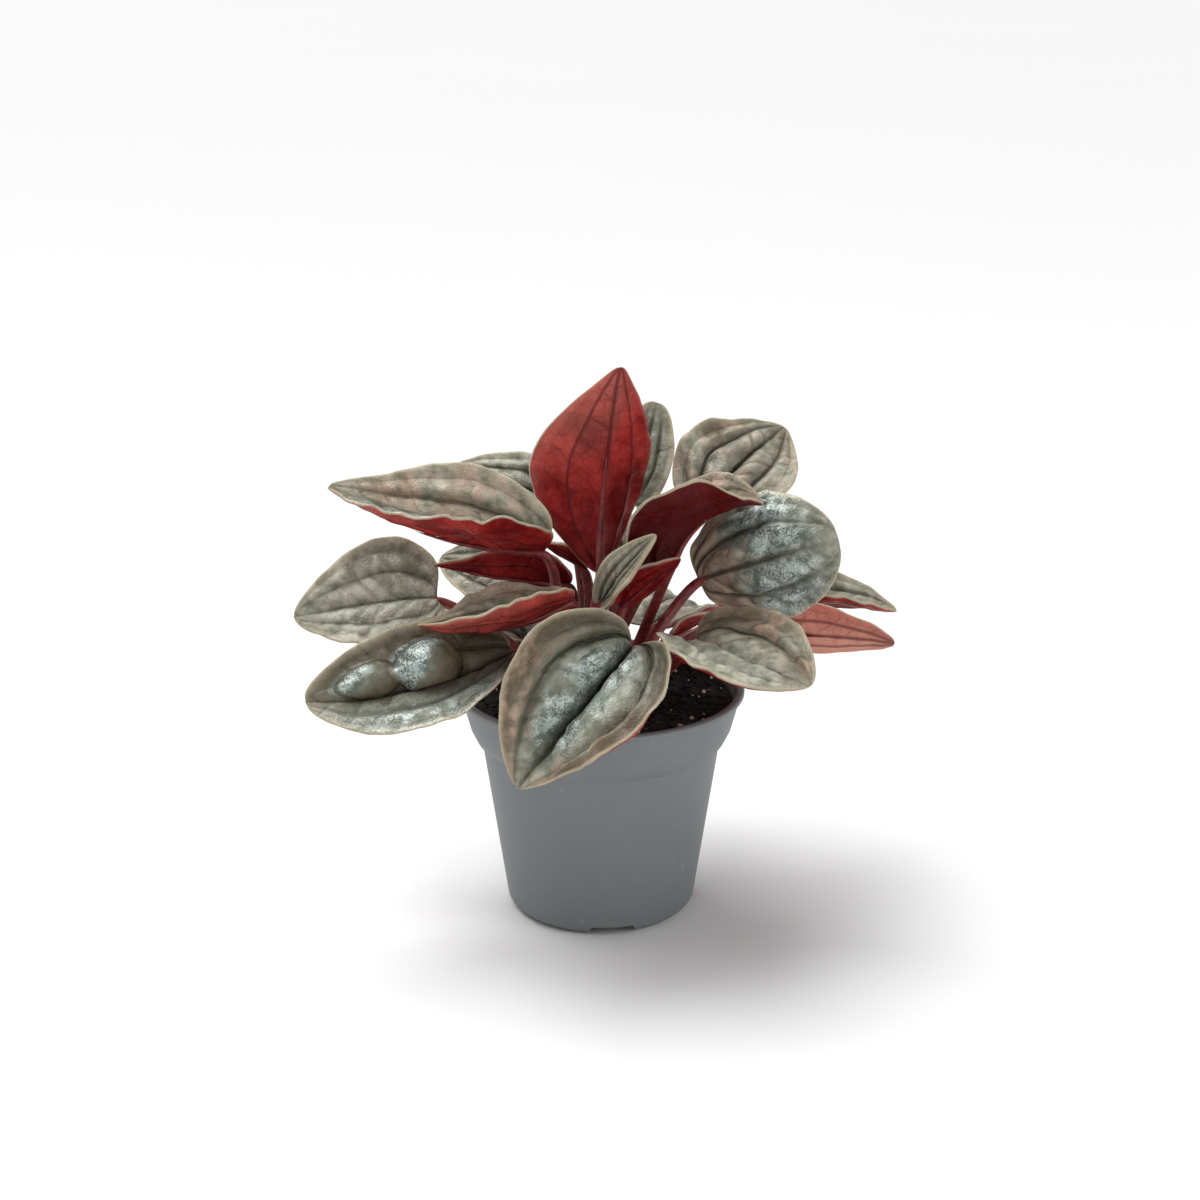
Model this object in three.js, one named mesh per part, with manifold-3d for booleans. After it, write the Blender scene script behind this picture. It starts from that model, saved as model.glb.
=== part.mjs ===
// A small ripple peperomia in a grower's pot, in millimetres, +Z up, with the origin on the
// table under the middle of the pot and the photographed front towards -Y. The pot is a thin
// moulded plastic shell, filled with compost. A short fleshy crown stands in a plain hole in
// the compost, and each leaf, blade and stalk in one piece, stands in its own socket in it.
import * as THREE from "three";
import { ParametricGeometry } from "three/addons/geometries/ParametricGeometry.js";
import { mergeVertices } from "three/addons/utils/BufferGeometryUtils.js";
import Module from "manifold-3d";

const wasm = await Module();
wasm.setup();

const DEG = Math.PI / 180;
const GAP = 0.3; // clearance between pieces that touch on the real plant

// Pot
const RIM_RADIUS = 30;
const POT_HEIGHT = 48.4;
const WALL = 1.0;
const LIP = 1.7; // how far the rolled lip stands out of the inside of the wall
const LIP_FOOT = POT_HEIGHT - 4.5;
const COLLAR_HEIGHT = 11.6;
const NECK_RADIUS = 25; // the wall just under the collar
const BASE_RADIUS = 20;
const BASE_FILLET = 2.8;
const FOOT_WIDTH = 2; // the ring that the pot stands on
const FOOT_HEIGHT = 1.5;
const FLOOR_THICKNESS = 1.2;
const POT_SIDES = 48;
const NOTCH_COUNT = 4;
const NOTCH_WIDTH = 11;
const NOTCH_HEIGHT = 2;
const NOTCH_TURN = -83 * DEG; // the first notch is just right of the front
const DRAIN_COUNT = 4;
const DRAIN_RADIUS = 2.2;
const DRAIN_RING = 10;

// Compost
const SOIL_EDGE = POT_HEIGHT - 2.8; // its height at the wall
const SOIL_CROWNING = 1.2; // how much higher it stands in the middle
const SOIL_LUMP = 0.5;
const SOIL_SIDES = 36;

// Crown: a low dome that holds the stalks, on a neck that runs down into the compost
const CROWN_TOP = 52;
const DOME_RADIUS = 15;
const CROWN_RADIUS = 12;
const CROWN_NECK = 6;
const CROWN_FOOT = 38;
const CROWN_SIDES = 24;
const SOCKET_DEPTH = 2;
const DOME_CENTRE = new THREE.Vector3(0, 0, CROWN_TOP - DOME_RADIUS);
// Sockets lie in rings: the lean of their stalks from upright, and how many share the turn
const RINGS = [
  { lean: 12 * DEG, count: 4, turn: 45 * DEG },
  { lean: 28 * DEG, count: 10, turn: 0 },
  { lean: 43 * DEG, count: 15, turn: 6 * DEG },
];

// Leaves
const BLADE = 1.0; // thickness
const STALK_FOOT = 1.25; // a stalk's radius in its socket
const STALK_TOP = 1.05;
const STALK_SIDES = 7;
const STALK_STEPS = 6;
const VEINS = [0, 0.4, 0.78]; // sunken main veins, as shares of the half width
const RIPPLE = 0.12; // height of the puckers between veins, as a share of the half width
const RIPPLE_END = 1.16; // where the outer pucker would come down, past the rim
const ROW_SPREAD = 1.15; // over 1 sets the blade's rows closer together at the base
const LOBE_REACH = 0.1; // the part of the length within which the lobes at the base lie
const MIDRIB_SHARE = 0.15; // the part of the half width in which the fold sets in
// Grid lines of a blade: across one half, and along
const GRIDS = {
  large: {
    across: [0.2, 0.4, 0.59, 0.78, 1],
    along: [0, 0.05, 0.12, 0.22, 0.35, 0.5, 0.65, 0.8, 0.92, 1],
  },
  small: { across: [0.2, 0.4, 0.7, 1], along: [0, 0.07, 0.18, 0.34, 0.54, 0.74, 0.9, 1] },
};

// Each leaf, named for its place as seen from the front. ring and slot give its socket, base
// and tip the two ends of its midrib, and face the way its top looks. left and right, seen
// along the leaf with its top up, give each half's fold at the midrib and its further curl
// out to the edge, in degrees. bend is how far the tip droops, open how much of the fold is
// gone at the tip, sway how far the midrib bows to the side, and lobe, belly, point and full
// shape the outline.
const LEAVES = [
  { name: "front", ring: 2, slot: 12, base: [6.5, -16.5, 62.5], tip: [-16, -37, 40.5],
    face: [-0.25, -0.6, 0.75], width: 42, left: [25, -5], right: [28, 35], bend: 25,
    lobe: 0.1, belly: 1, full: 0.8, point: 0.15, open: 0, sway: -0.05 },
  { name: "front_left", ring: 2, slot: 9, base: [-18, -13, 60], tip: [-58, -28, 55],
    face: [0, -0.9, 0.5], width: 28, left: [70, 0], right: [0, 10], bend: 20, lobe: 0.02,
    belly: 1, full: 0.65, point: 0.1, open: 0.6, twist: -8, sway: -0.08,
    blisters: [
      { u: 0.3, v: 0.5, across: 0.36, along: 0.2, height: 3.5 },
      { u: 0.24, v: 0.76, across: 0.24, along: 0.13, height: 2.5 },
    ] },
  { name: "front_folded", ring: 1, slot: 6, base: [-6, -9, 70], tip: [-35.5, -28, 71],
    face: [0, 0, 1], width: 23, left: [40, 10], right: [24, 0], bend: -45, lobe: 0.06 },
  { name: "far_left", ring: 2, slot: 7, base: [-34, 2, 66.5], tip: [-63, -4, 64.5],
    face: [0, -0.7, 0.7], width: 28, left: [20, 20], right: [5, 10], bend: 15, lobe: 0.08,
    belly: 0.7, full: 0.8, point: 0, twist: -20 },
  { name: "upper_left", ring: 1, slot: 5, base: [-11.5, -2, 78.3], tip: [-54.5, -8, 93.2],
    face: [0.1, -0.15, 1], width: 33, left: [50, 5], right: [78, 5], bend: -35, lobe: 0.08,
    full: 0.7, point: 0.3, open: 0.7 },
  { name: "left_dark", ring: 1, slot: 4, base: [-6.5, 6, 68.5], tip: [-34, -3, 75.5],
    face: [0, 0.5, 0.85], width: 18, left: [25, 10], right: [10, 20], bend: -5,
    lobe: 0.04 },
  { name: "upright", ring: 0, slot: 2, base: [0, 2, 72], tip: [4, 2, 115.5],
    face: [0.25, 1, 0], width: 36, left: [66, 10], right: [0, 4], bend: 10,
    lobe: 0.03, belly: 1.1, sway: 0.03 },
  { name: "back_tip", ring: 1, slot: 2, base: [6, 20, 83], tip: [12, 29, 102],
    face: [0.2, -0.8, 0.5], width: 14, left: [10, 10], right: [10, 10], bend: 10,
    full: 0.55, point: 0.1 },
  { name: "back_left", ring: 1, slot: 3, base: [-9, 18.5, 82.5], tip: [-34, 30, 86.5],
    face: [0, -0.4, 0.9], width: 19, left: [10, 20], right: [10, 20], bend: 10,
    full: 0.75, point: 0.25 },
  { name: "left_behind", ring: 2, slot: 5, base: [-13, 15, 64], tip: [-35, 26, 68],
    face: [0, -0.7, 0.7], width: 20, left: [10, 20], right: [10, 20], bend: 10,
    full: 0.75, point: 0.25 },
  { name: "young_olive", ring: 1, slot: 7, base: [0.5, -4.5, 68], tip: [11, -12, 84.5],
    face: [-0.5, -0.7, 0.4], width: 11, left: [10, 10], right: [30, 10], bend: 5,
    grid: "small" },
  { name: "young_red", ring: 1, slot: 8, base: [4.5, -3, 67], tip: [16, -8, 78.5],
    face: [-0.1, 0.7, 0.6], width: 10, left: [10, 10], right: [10, 10], bend: 5,
    grid: "small" },
  { name: "inner_right", ring: 1, slot: 1, base: [14, 0, 73.5], tip: [33, 1, 87],
    face: [-0.5, 0, 0.85], width: 32, left: [-15, 10], right: [60, 10], bend: 85, lobe: 0.05,
    full: 0.7, point: 0.1, open: 0, twist: 45 },
  { name: "right", ring: 1, slot: 9, base: [20.3, 4, 70], tip: [48.5, -2, 80.5],
    face: [-0.2, -0.85, 0.4], width: 29, left: [5, -45], right: [-52, -20], bend: 20,
    lobe: 0.05, belly: 1.05, full: 0.5, point: 0, open: 0.5 },
  { name: "upper_right", ring: 2, slot: 3, base: [22.5, 19, 82.5], tip: [40, 35, 95],
    face: [-0.1, -0.6, 0.8], width: 29, left: [-5, 5], right: [10, 5], bend: 20, lobe: 0.13,
    full: 0.75, point: 0.3, twist: 15 },
  { name: "front_right", ring: 2, slot: 14, base: [19, -8, 60], tip: [40.5, -30, 59],
    face: [0, -0.3, 0.95], width: 32, left: [5, 15], right: [35, 0], bend: -5, lobe: 0.18,
    full: 0.65, point: 0.2, open: 0.8, sway: 0.02 },
  { name: "low_right", ring: 2, slot: 0, base: [28, 9.5, 56.5], tip: [61.5, 3, 56.5],
    face: [0, 0.9, 0.3], width: 15, left: [10, 10], right: [10, 10], bend: 15, full: 0.75,
    point: 0.15 },
  { name: "far_right", ring: 2, slot: 1, base: [34, 18, 59], tip: [64, 20, 58],
    face: [0, -0.2, 1], width: 20, left: [20, 20], right: [30, 20], bend: 15, full: 0.75,
    point: 0.25 },
  { name: "small_right", ring: 1, slot: 0, base: [15, 2, 58.5], tip: [24.5, 6, 62],
    face: [0, 0.6, 0.8], width: 8, left: [10, 10], right: [10, 10], bend: 10,
    grid: "small" },
  { name: "small_left", ring: 0, slot: 1, base: [-3.5, 8.2, 71.5], tip: [-12, 9.2, 76.5],
    face: [0, 0.6, 0.8], width: 7.5, left: [10, 10], right: [10, 10], bend: 10,
    grid: "small" },
  { name: "small_behind", ring: 0, slot: 0, base: [2.5, 12, 70], tip: [3, 15, 80],
    face: [0, -1, 0.2], width: 9, left: [20, 10], right: [20, 10], bend: 5,
    grid: "small" },
  { name: "back_right_low", ring: 2, slot: 2, base: [11, 18, 55], tip: [28.5, 44, 46],
    face: [0, 0, 1], width: 25, left: [10, 20], right: [10, 20], bend: 40, full: 0.75,
    point: 0.25 },
  { name: "back_low", ring: 2, slot: 4, base: [-4, 19, 53.5], tip: [-9, 46, 43],
    face: [0, 0, 1], width: 24, left: [10, 20], right: [10, 20], bend: 50, full: 0.75,
    point: 0.25 },
  { name: "back_left_low", ring: 2, slot: 6, base: [-17, 11, 54.5], tip: [-42, 25, 50.5],
    face: [0, 0, 1], width: 23, left: [10, 20], right: [10, 20], bend: 30, full: 0.75,
    point: 0.25 },
];

const lerp = (a, b, t) => a + (b - a) * t;
const clamp01 = (t) => Math.min(1, Math.max(0, t));

// Solids and joins

function solidOf(geometry) {
  const bare = geometry.clone();
  bare.deleteAttribute("normal");
  bare.deleteAttribute("uv");
  const merged = mergeVertices(bare, 1e-4);
  const kept = [];
  for (let i = 0; i < merged.index.count; i += 3) {
    const [a, b, c] = merged.index.array.slice(i, i + 3);
    if (a !== b && b !== c && c !== a) {
      kept.push(a, b, c);
    }
  }
  return new wasm.Manifold(
    new wasm.Mesh({
      numProp: 3,
      vertProperties: merged.attributes.position.array,
      triVerts: new Uint32Array(kept),
    }),
  );
}

function geometryOf(solid) {
  const { vertProperties, triVerts } = solid.getMesh();
  const geometry = new THREE.BufferGeometry();
  geometry.setAttribute("position", new THREE.BufferAttribute(vertProperties, 3));
  geometry.setIndex(new THREE.BufferAttribute(triVerts, 1));
  geometry.computeVertexNormals();
  return geometry;
}

// A closed skin over rings of points. A first or last ring on one point closes that end.
function skinned(rings) {
  const stacks = rings.length - 1;
  const slices = rings[0].length;
  const place = (a, b, target) =>
    target.copy(rings[Math.round(b * stacks)][Math.round(a * slices) % slices]);
  return new ParametricGeometry(place, slices, stacks);
}

// A ring of points round a stalk. across and up span its plane.
function ringRound(centre, across, up, radius) {
  return Array.from({ length: STALK_SIDES }, (_, k) => {
    const turn = (k * 2 * Math.PI) / STALK_SIDES;
    return centre
      .clone()
      .addScaledVector(across, radius * Math.cos(turn))
      .addScaledVector(up, radius * Math.sin(turn));
  });
}

// A solid of revolution about Z, from [radius, height] points that start and end on the axis.
function turned(profile, sides) {
  const points = profile.map(([r, z]) => new THREE.Vector2(r, z));
  return new THREE.LatheGeometry(points, sides).rotateX(Math.PI / 2);
}

function rod(radius, from, to, sides) {
  const line = new THREE.Vector3().subVectors(to, from);
  const middle = new THREE.Vector3().addVectors(from, to).multiplyScalar(0.5);
  const turn = new THREE.Quaternion().setFromUnitVectors(
    new THREE.Vector3(0, 1, 0),
    line.clone().normalize(),
  );
  return new THREE.CylinderGeometry(radius, radius, line.length(), sides)
    .applyQuaternion(turn)
    .translate(middle.x, middle.y, middle.z);
}

// Pot

const NECK_HEIGHT = POT_HEIGHT - COLLAR_HEIGHT;
const FLOOR_TOP = FOOT_HEIGHT + FLOOR_THICKNESS;
const FOOT_RADIUS = BASE_RADIUS - BASE_FILLET;

function potInside() {
  return [
    [0, FLOOR_TOP],
    [BASE_RADIUS - 2 * WALL, FLOOR_TOP],
    [BASE_RADIUS - WALL, FLOOR_TOP + 1.3],
    [NECK_RADIUS - WALL, NECK_HEIGHT + 0.6],
    [NECK_RADIUS + 1.4 - WALL, NECK_HEIGHT + 2],
    [RIM_RADIUS - LIP - WALL, LIP_FOOT],
    [RIM_RADIUS - LIP, POT_HEIGHT - 0.5],
  ];
}

function potGeometry() {
  const fillet = [25, 50, 75].map((a) => [
    FOOT_RADIUS + BASE_FILLET * Math.sin(a * DEG),
    BASE_FILLET * (1 - Math.cos(a * DEG)),
  ]);
  const outside = [
    [0, FOOT_HEIGHT],
    [FOOT_RADIUS - FOOT_WIDTH - 0.2, FOOT_HEIGHT],
    [FOOT_RADIUS - FOOT_WIDTH, 0],
    [FOOT_RADIUS, 0],
    ...fillet,
    [NECK_RADIUS, NECK_HEIGHT],
    [NECK_RADIUS + 1.2, NECK_HEIGHT + 0.9],
    [NECK_RADIUS + 2.4, NECK_HEIGHT + 3.4],
    [RIM_RADIUS - 1.6, LIP_FOOT],
    [RIM_RADIUS - 0.9, POT_HEIGHT - 1.5],
    [RIM_RADIUS, POT_HEIGHT - 1],
    [RIM_RADIUS, POT_HEIGHT - 0.3],
    [RIM_RADIUS - 0.4, POT_HEIGHT],
    [RIM_RADIUS - 1.2, POT_HEIGHT],
  ];
  let pot = solidOf(turned([...outside, ...potInside().reverse()], POT_SIDES));

  const notch = new THREE.Shape();
  notch.moveTo(-NOTCH_WIDTH / 2, -1);
  notch.lineTo(NOTCH_WIDTH / 2, -1);
  notch.lineTo(NOTCH_WIDTH / 2 - 0.9, NOTCH_HEIGHT);
  notch.lineTo(0.9 - NOTCH_WIDTH / 2, NOTCH_HEIGHT);
  notch.closePath();
  for (let i = 0; i < NOTCH_COUNT; i++) {
    const cutter = new THREE.ExtrudeGeometry(notch, { depth: 8, bevelEnabled: false })
      .rotateX(Math.PI / 2)
      .translate(0, -FOOT_RADIUS + 4, 0)
      .rotateZ(NOTCH_TURN + Math.PI / 2 + (i * 2 * Math.PI) / NOTCH_COUNT);
    pot = pot.subtract(solidOf(cutter));
  }
  for (let i = 0; i <= DRAIN_COUNT; i++) {
    const turn = NOTCH_TURN + ((i + 0.5) * 2 * Math.PI) / DRAIN_COUNT;
    const ring = i === DRAIN_COUNT ? 0 : DRAIN_RING;
    const at = new THREE.Vector3(ring * Math.cos(turn), ring * Math.sin(turn), 0);
    const top = at.clone().setZ(FLOOR_TOP + 1);
    pot = pot.subtract(solidOf(rod(DRAIN_RADIUS, at.setZ(-1), top, 10)));
  }
  return geometryOf(pot);
}

// Crown

const CROWN_SHOULDER = DOME_CENTRE.z + Math.sqrt(DOME_RADIUS ** 2 - CROWN_RADIUS ** 2);

function crownProfile(grow) {
  const dome = [[CROWN_RADIUS + 1.5 * grow, CROWN_SHOULDER]];
  const steepest = Math.asin(CROWN_RADIUS / DOME_RADIUS);
  for (let i = 1; i < 6; i++) {
    const a = steepest * (1 - i / 6);
    dome.push([
      (DOME_RADIUS + grow) * Math.sin(a),
      DOME_CENTRE.z + (DOME_RADIUS + grow) * Math.cos(a),
    ]);
  }
  dome.push([0, CROWN_TOP + grow]);
  return [[0, CROWN_FOOT - grow], [CROWN_NECK + 1.2 * grow, CROWN_FOOT - grow], ...dome];
}

// The direction in which the stalk of a socket leaves the crown.
function socketLean({ ring, slot }) {
  const { lean, count, turn } = RINGS[ring];
  const round = turn + (slot * 2 * Math.PI) / count;
  return new THREE.Vector3(
    Math.sin(lean) * Math.cos(round),
    Math.sin(lean) * Math.sin(round),
    Math.cos(lean),
  );
}

function socketPoint(leaf, depth) {
  return socketLean(leaf).multiplyScalar(DOME_RADIUS - depth).add(DOME_CENTRE);
}

// A tube round the foot of a stalk, wider than the stalk by grow.
function stalkFoot(leaf, grow, deep, high) {
  const lean = socketLean(leaf);
  const across = new THREE.Vector3().crossVectors(lean, new THREE.Vector3(0, 1, 0)).normalize();
  const up = new THREE.Vector3().crossVectors(lean, across);
  const ring = (depth, radius) => ringRound(socketPoint(leaf, depth), across, up, radius);
  const radius = STALK_FOOT + grow;
  return [ring(deep, 0), ring(deep, radius), ring(-high, radius), ring(-high, 0)];
}

function crownGeometry() {
  let crown = solidOf(turned(crownProfile(0), CROWN_SIDES));
  for (const leaf of LEAVES) {
    crown = crown.subtract(solidOf(skinned(stalkFoot(leaf, GAP, SOCKET_DEPTH + GAP, 2))));
  }
  return geometryOf(crown);
}

// Compost

function soilGeometry() {
  const rings = [];
  const ring = (radius, height) => {
    rings.push(
      Array.from({ length: SOIL_SIDES }, (_, i) => {
        const turn = (i * 2 * Math.PI) / SOIL_SIDES;
        const x = radius * Math.cos(turn);
        const y = radius * Math.sin(turn);
        return new THREE.Vector3(x, y, height(x, y));
      }),
    );
  };
  const inside = potInside().slice(1, 6).map(([r, z]) => [r - GAP, z + GAP]);
  const edge = RIM_RADIUS - LIP - WALL - GAP + 0.4;
  const surface = (x, y) => {
    const r = Math.hypot(x, y) / edge;
    const lumps = Math.sin(x * 1.1 + 0.6 * y) * Math.cos(y * 0.9 - 0.4 * x + 1);
    return SOIL_EDGE + SOIL_CROWNING * (1 - r * r) + SOIL_LUMP * lumps * (1 - r ** 6);
  };
  ring(0, () => FLOOR_TOP + GAP);
  inside.forEach(([r, z]) => ring(r, () => z));
  [1, 0.93, 0.84, 0.74, 0.64, 0.52, 0.3, 0].forEach((share) => ring(edge * share, surface));
  const soil = solidOf(skinned(rings));
  const hole = solidOf(turned(crownProfile(GAP), CROWN_SIDES));
  return geometryOf(soil.subtract(hole));
}

// Leaves

// Cross-section of one half: fold at the midrib, then an even curl out to the edge.
function halfSection(distance, halfWidth, [fold, curl], folded) {
  const start = fold * DEG * folded;
  const rate = (curl * DEG * folded) / halfWidth;
  if (Math.abs(rate) < 1e-6) {
    return { x: distance * Math.cos(start), z: distance * Math.sin(start), slope: start };
  }
  const slope = start + rate * distance;
  return {
    x: (Math.sin(slope) - Math.sin(start)) / rate,
    z: (Math.cos(start) - Math.cos(slope)) / rate,
    slope,
  };
}

// Height of the puckers: nothing at a vein or at the ends, most halfway between two veins.
function pucker(u, v) {
  const across = Math.abs(u);
  const lines = [...VEINS, RIPPLE_END];
  const band = lines.findIndex((line, i) => across < lines[i + 1]);
  const low = lines[band];
  const high = lines[band + 1];
  const middle = 1 - Math.abs((2 * (across - low)) / (high - low) - 1) ** 2.5;
  const swell = Math.sin(Math.PI * clamp01(v)) ** 0.6;
  return middle * swell * ((high - low) / VEINS[1]);
}

// Height of the few large bubbles that a blade has where its flesh outgrew its veins.
function blister({ blisters = [] }, u, v) {
  return blisters.reduce((height, bubble) => {
    const away = ((u - bubble.u) / bubble.across) ** 2 + ((v - bubble.v) / bubble.along) ** 2;
    return height + bubble.height * Math.max(0, 1 - away) ** 0.8;
  }, 0);
}

// Returns a function that gives the blade's point at u across, v along, lifted off its
// middle surface. Local Y runs to the tip, local Z is up out of the top face.
function bladeOf(leaf) {
  const base = new THREE.Vector3(...leaf.base);
  const chord = new THREE.Vector3(...leaf.tip).sub(base);
  const bend = (leaf.bend ?? 10) * DEG;
  const lobe = leaf.lobe ?? 0.14;
  const belly = leaf.belly ?? 0.9;
  const point = leaf.point ?? 0.4;
  const full = leaf.full ?? 1;
  const open = leaf.open ?? 0.2;
  const twist = (leaf.twist ?? 0) * DEG;
  const sway = leaf.sway ?? 0;
  const half = leaf.width / 2;
  const straight = Math.abs(bend) < 1e-6;
  const length = straight ? chord.length() : (chord.length() * bend) / 2 / Math.sin(bend / 2);
  const bent = (y, z) => {
    const turn = (bend * y) / length;
    const radius = length / bend;
    return straight
      ? [y, z]
      : [(radius + z) * Math.sin(turn), (radius + z) * Math.cos(turn) - radius];
  };
  // The frame whose Y is the chord, after the bend's own dip at the tip is taken out
  const yAxis = chord.clone().normalize();
  const xAxis = new THREE.Vector3().crossVectors(yAxis, new THREE.Vector3(...leaf.face));
  xAxis.normalize();
  const zAxis = new THREE.Vector3().crossVectors(xAxis, yAxis);
  const frame = new THREE.Matrix4().makeBasis(xAxis, yAxis, zAxis);
  frame.multiply(new THREE.Matrix4().makeRotationX(bend / 2));
  frame.setPosition(base);

  return (u, v, lift) => {
    const side = Math.max(0, Math.sin(Math.PI * v ** belly)) ** full * (1 - point * v ** 3);
    const back = (v / LOBE_REACH) * Math.exp(1 - v / LOBE_REACH);
    const y = length * (v ** ROW_SPREAD - lobe * u * u * back);
    const distance = Math.abs(u) * half * side;
    const section = halfSection(distance, half, u < 0 ? leaf.left : leaf.right, 1 - open * v);
    const height = lift + RIPPLE * half * pucker(u, v) + blister(leaf, u, v);
    const lean = section.slope * Math.min(1, (Math.abs(u) * side) / MIDRIB_SHARE);
    const bow = sway * length * 4 * v * (1 - v);
    const x = (section.x - height * Math.sin(lean)) * Math.sign(u) + bow;
    const z = section.z + height * Math.cos(lean);
    const turn = (twist * y) / length;
    const [bentY, bentZ] = bent(y, z * Math.cos(turn) - x * Math.sin(turn));
    const turnedX = x * Math.cos(turn) + z * Math.sin(turn);
    return new THREE.Vector3(turnedX, bentY, bentZ).applyMatrix4(frame);
  };
}

// The blade's plate. Its top and bottom are split into triangles alike, so that they can't
// cross where the blade is waved.
function bladeGeometry(leaf, place) {
  const { across, along } = GRIDS[leaf.grid ?? "large"];
  const lines = [...across.map((u) => -u).reverse(), 0, ...across];
  const edge = lines.length - 1;
  const face = (lift) => along.map((v) => lines.map((u) => place(u, v, lift)));
  const top = face(BLADE / 2);
  const bottom = face(-BLADE / 2);
  const corners = [];
  for (let i = 0; i < along.length - 1; i++) {
    for (let j = 0; j < edge; j++) {
      corners.push(top[i][j], top[i][j + 1], top[i + 1][j]);
      corners.push(top[i][j + 1], top[i + 1][j + 1], top[i + 1][j]);
      corners.push(bottom[i][j], bottom[i + 1][j], bottom[i][j + 1]);
      corners.push(bottom[i][j + 1], bottom[i + 1][j], bottom[i + 1][j + 1]);
    }
    corners.push(top[i][0], top[i + 1][0], bottom[i][0]);
    corners.push(top[i + 1][0], bottom[i + 1][0], bottom[i][0]);
    corners.push(top[i][edge], bottom[i][edge], top[i + 1][edge]);
    corners.push(bottom[i][edge], bottom[i + 1][edge], top[i + 1][edge]);
  }
  return new THREE.BufferGeometry().setFromPoints(corners);
}

// The stalk rises out of its socket, leans out and runs on into the midrib.
function stalkGeometry(leaf, place) {
  const mouth = socketPoint(leaf, -0.5);
  const end = place(0, 0, -0.1);
  const span = end.distanceTo(mouth);
  const rise = new THREE.Vector3().subVectors(end, mouth).normalize();
  const midrib = place(0, 0.3, 0).sub(place(0, 0, 0)).normalize();
  const arrive = rise.add(midrib.multiplyScalar(0.5)).normalize();
  const curve = new THREE.CubicBezierCurve3(
    mouth,
    socketLean(leaf).multiplyScalar(0.4 * span).add(mouth),
    end.clone().addScaledVector(arrive, -0.35 * span),
    end,
  );
  const rings = stalkFoot(leaf, 0, SOCKET_DEPTH, 0.5).slice(0, 3);
  const across = new THREE.Vector3().crossVectors(socketLean(leaf), new THREE.Vector3(0, 1, 0));
  for (let i = 1; i <= STALK_STEPS; i++) {
    const t = i / STALK_STEPS;
    const heading = curve.getTangentAt(t);
    across.addScaledVector(heading, -across.dot(heading)).normalize();
    const up = new THREE.Vector3().crossVectors(heading, across);
    rings.push(ringRound(curve.getPointAt(t), across, up, lerp(STALK_FOOT, STALK_TOP, t)));
  }
  rings.push(ringRound(end, across, across, 0));
  return skinned(rings);
}

function leafGeometry(leaf) {
  const place = bladeOf(leaf);
  const blade = solidOf(bladeGeometry(leaf, place));
  const stalk = solidOf(stalkGeometry(leaf, place));
  return geometryOf(blade.add(stalk));
}

// The whole plant

const potPlastic = new THREE.MeshStandardMaterial({ color: 0x858c90, roughness: 0.62 });
const compost = new THREE.MeshStandardMaterial({ color: 0x1b1512, roughness: 0.95 });
const crownFlesh = new THREE.MeshStandardMaterial({ color: 0x4f1c17, roughness: 0.6 });
const leafFlesh = new THREE.MeshStandardMaterial({ color: 0x8a8f7c, roughness: 0.35 });

function piece(name, geometry, material) {
  const mesh = new THREE.Mesh(geometry, material);
  mesh.name = name;
  return mesh;
}

const plant = new THREE.Group();
plant.add(piece("pot", potGeometry(), potPlastic));
plant.add(piece("soil", soilGeometry(), compost));
plant.add(piece("crown", crownGeometry(), crownFlesh));
for (const leaf of LEAVES) {
  plant.add(piece("leaf_" + leaf.name, leafGeometry(leaf), leafFlesh));
}

export default plant;
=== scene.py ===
import math
import random

import bmesh
import bpy
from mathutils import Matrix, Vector, noise


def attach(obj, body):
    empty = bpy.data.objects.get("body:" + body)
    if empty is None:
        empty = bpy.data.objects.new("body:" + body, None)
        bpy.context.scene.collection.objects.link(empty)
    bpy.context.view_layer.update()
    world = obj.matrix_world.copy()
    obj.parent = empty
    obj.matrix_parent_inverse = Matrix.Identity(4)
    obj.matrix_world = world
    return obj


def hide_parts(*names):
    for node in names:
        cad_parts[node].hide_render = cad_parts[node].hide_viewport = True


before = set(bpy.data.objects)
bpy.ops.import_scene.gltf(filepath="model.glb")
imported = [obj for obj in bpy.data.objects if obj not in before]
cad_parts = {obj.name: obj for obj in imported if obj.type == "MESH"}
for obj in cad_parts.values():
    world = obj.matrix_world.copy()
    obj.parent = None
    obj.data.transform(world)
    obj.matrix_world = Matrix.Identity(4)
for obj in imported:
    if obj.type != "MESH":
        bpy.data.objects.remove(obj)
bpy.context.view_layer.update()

# Pot
# A thin grower's pot, moulded in one shot from grey polypropylene. Its collar flares at a step
# and ends in a rolled lip, and it stands on a ring with four notches that let water out.

MM = 0.001
RIM_RADIUS = 30
POT_HEIGHT = 48.4
WALL = 1.0
COLLAR_FOOT = POT_HEIGHT - 11.6
LIP = 1.7
LIP_FOOT = POT_HEIGHT - 4.5
NECK_RADIUS = 25
BASE_RADIUS = 20
BASE_FILLET = 2.8
FOOT_RADIUS = BASE_RADIUS - BASE_FILLET
FOOT_HEIGHT = 1.5
FOOT_WIDTH = 2
FLOOR_TOP = 2.7
POT_STEPS = 160
NOTCH_SIZE = (8, 11, 4)
NOTCH_TURN = math.radians(-83)
DRAIN_RADIUS = 2.2
DRAIN_RING = 10
EDGE_ROUNDING = 0.22
POT_INSIDE = [
    (0, FLOOR_TOP),
    (BASE_RADIUS - 2 * WALL, FLOOR_TOP),
    (BASE_RADIUS - WALL, FLOOR_TOP + 1.3),
    (NECK_RADIUS - WALL, COLLAR_FOOT + 0.6),
    (NECK_RADIUS + 1.4 - WALL, COLLAR_FOOT + 2),
    (RIM_RADIUS - LIP - WALL, LIP_FOOT),
    (RIM_RADIUS - LIP, POT_HEIGHT - 0.5),
]


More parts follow.
